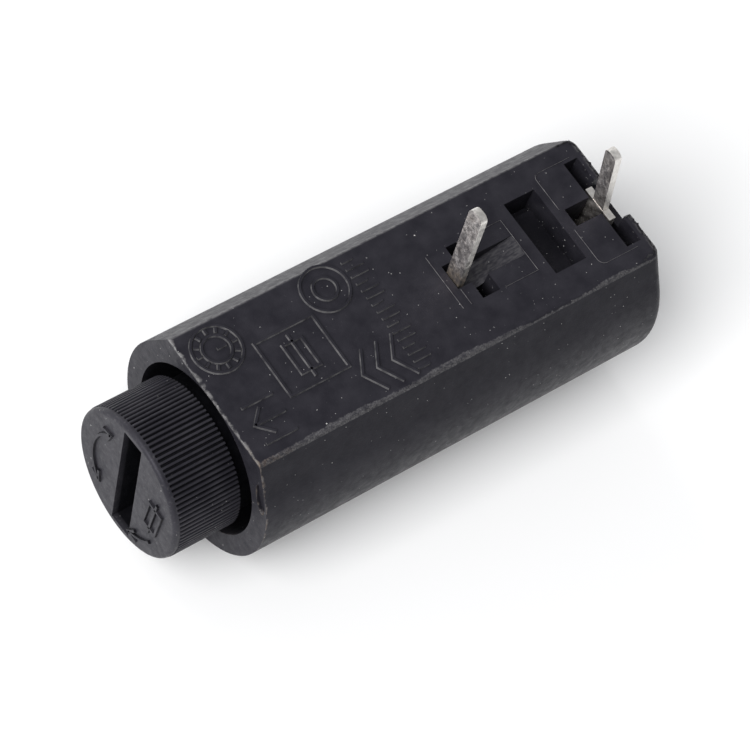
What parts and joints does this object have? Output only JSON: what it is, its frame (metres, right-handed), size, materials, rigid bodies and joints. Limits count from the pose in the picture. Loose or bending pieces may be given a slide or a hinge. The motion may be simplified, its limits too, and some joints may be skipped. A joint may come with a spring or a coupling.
{
  "type": "cartridge fuse holder",
  "caption": "Horizontal board-mounted holder for a 5 x 20 mm cartridge fuse, round-backed moulded body with a knurled bayonet cap and blade solder pins.",
  "frame": {"origin": "on the bore axis, in the plane of the body's front face, where the mouth meets the panel", "axes": "+X along the bore towards the rear, so the cap points along -X; +Z out of the flat board side along the solder pins; +Y completes the right-handed set. The part lies on its rounded back with its pins up, so a board is fitted from +Z"},
  "size_m": [0.0394, 0.0156, 0.0214],
  "materials": {
    "housing_plastic": "matte black thermoplastic with fine grain",
    "cap_plastic": "matte black thermoplastic, a little greyer",
    "terminal_metal": "dull tin plate over brass",
    "clip_metal": "plated spring brass",
    "spring_steel": "drawn wire",
    "ferrule_metal": "nickel plate over brass",
    "fuse_glass": "clear",
    "fuse_wire": "bright drawn wire",
    "solder": "dull solder"
  },
  "bodies": {
    "housing": {"housing": "housing_plastic", "front_terminal": "terminal_metal", "rear_terminal": "terminal_metal"},
    "fuse": {"fuse_glass": "fuse_glass", "fuse_front_ferrule": "ferrule_metal", "fuse_rear_ferrule": "ferrule_metal", "fuse_wire": "fuse_wire", "fuse_front_solder": "solder", "fuse_rear_solder": "solder"},
    "clip": {"contact_clip": "clip_metal"},
    "cap": {"cap": "cap_plastic", "cap_spring": "spring_steel"}
  },
  "joints": [
    {"name": "withdraw", "type": "slide", "parent": "housing", "child": "fuse", "axis": [-1, 0, 0], "range_m": [0, 0.036]},
    {"name": "bayonet_turn", "type": "hinge", "parent": "fuse", "child": "clip", "pos_m": [0, 0, 0], "axis": [1, 0, 0], "range_deg": [0, 60]},
    {"name": "cap_press", "type": "slide", "parent": "clip", "child": "cap", "axis": [1, 0, 0], "range_m": [0, 0.0012], "stiffness_N_per_m": 600, "springref_m": -0.002, "deforming": ["cap_spring"]}
  ]
}
